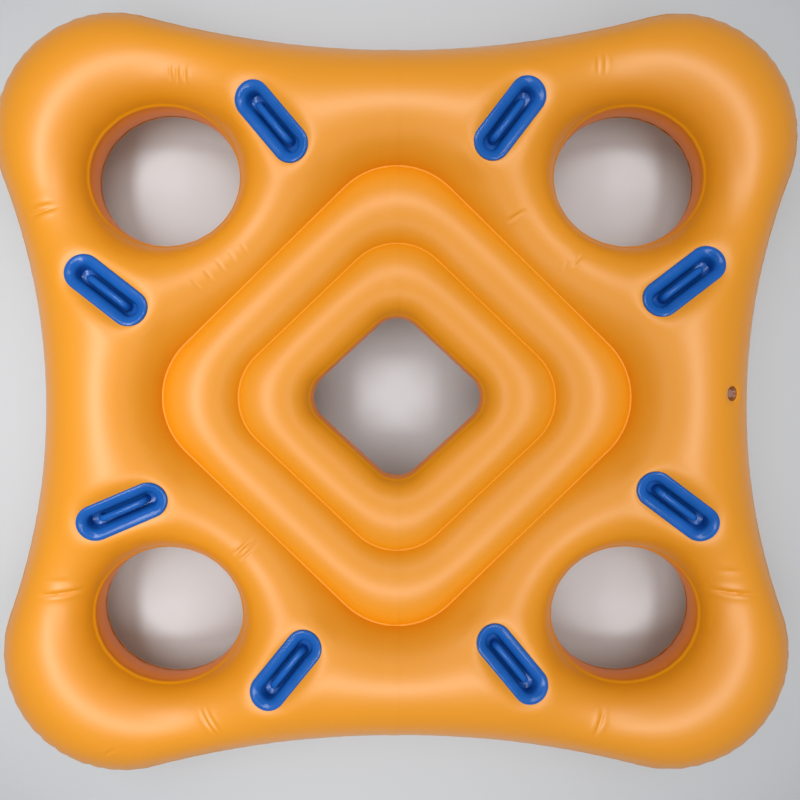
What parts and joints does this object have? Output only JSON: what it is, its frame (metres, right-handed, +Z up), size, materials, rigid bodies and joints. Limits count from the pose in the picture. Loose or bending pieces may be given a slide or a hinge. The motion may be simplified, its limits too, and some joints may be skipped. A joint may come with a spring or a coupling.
{
  "type": "four-seat inflatable swim ring",
  "caption": "Inflatable pool ring of welded sheet: a round seat hole in each bulging corner, a diamond opening in the middle, recessed grab handles and a plugged valve.",
  "frame": {"origin": "the centre of the ring's footprint, on the surface it rests on", "axes": "+X to the right side, where the valve is; +Y to the rear; +Z up, the way the handles face"},
  "size_m": [1.948, 1.86, 0.332],
  "materials": {
    "sheet_orange": "satin welded vinyl sheet, lightly crazed and dusty",
    "wall_orange": "satin welded vinyl sheet, deeper in colour inside the holes",
    "web_orange": "plain vinyl strip, hidden inside",
    "handle_blue": "glossy soft moulding",
    "valve_clear": "milky translucent soft vinyl"
  },
  "bodies": {
    "root": {"bottom_sheet_left": "sheet_orange", "bottom_sheet_right": "sheet_orange", "centre_wall": "wall_orange", "handle_front_left": "handle_blue", "handle_front_right": "handle_blue", "handle_left_front": "handle_blue", "handle_left_rear": "handle_blue", "handle_rear_left": "handle_blue", "handle_rear_right": "handle_blue", "handle_right_front": "handle_blue", "handle_right_rear": "handle_blue", "inner_web": "web_orange", "outer_web": "web_orange", "seat_wall_front_left": "wall_orange", "seat_wall_front_right": "wall_orange", "seat_wall_rear_left": "wall_orange", "seat_wall_rear_right": "wall_orange", "side_band_left": "sheet_orange", "side_band_right": "sheet_orange", "top_sheet_left": "sheet_orange", "top_sheet_right": "sheet_orange", "valve_base": "valve_clear"},
    "valve_stem": {"valve_stem": "valve_clear"},
    "valve_plug": {"valve_plug": "valve_clear"},
    "valve_flap": {"valve_flap": "valve_clear"}
  },
  "joints": [
    {"name": "stem_slide", "type": "slide", "parent": "root", "child": "valve_stem", "axis": [0.5386, -0.0148, 0.8424], "range_m": [0, 0.012]},
    {"name": "plug_hinge", "type": "hinge", "parent": "valve_stem", "child": "valve_plug", "pos_m": [0.78679, 0.01217, 0.29159], "axis": [0, 0.9998, 0.0175], "range_deg": [0, 120]},
    {"name": "flap_hinge", "type": "hinge", "parent": "valve_stem", "child": "valve_flap", "pos_m": [0.76856, 0.01262, 0.26586], "axis": [0, -0.9998, -0.0175], "range_deg": [0, 35], "stiffness_Nm_per_rad": 0.004}
  ]
}
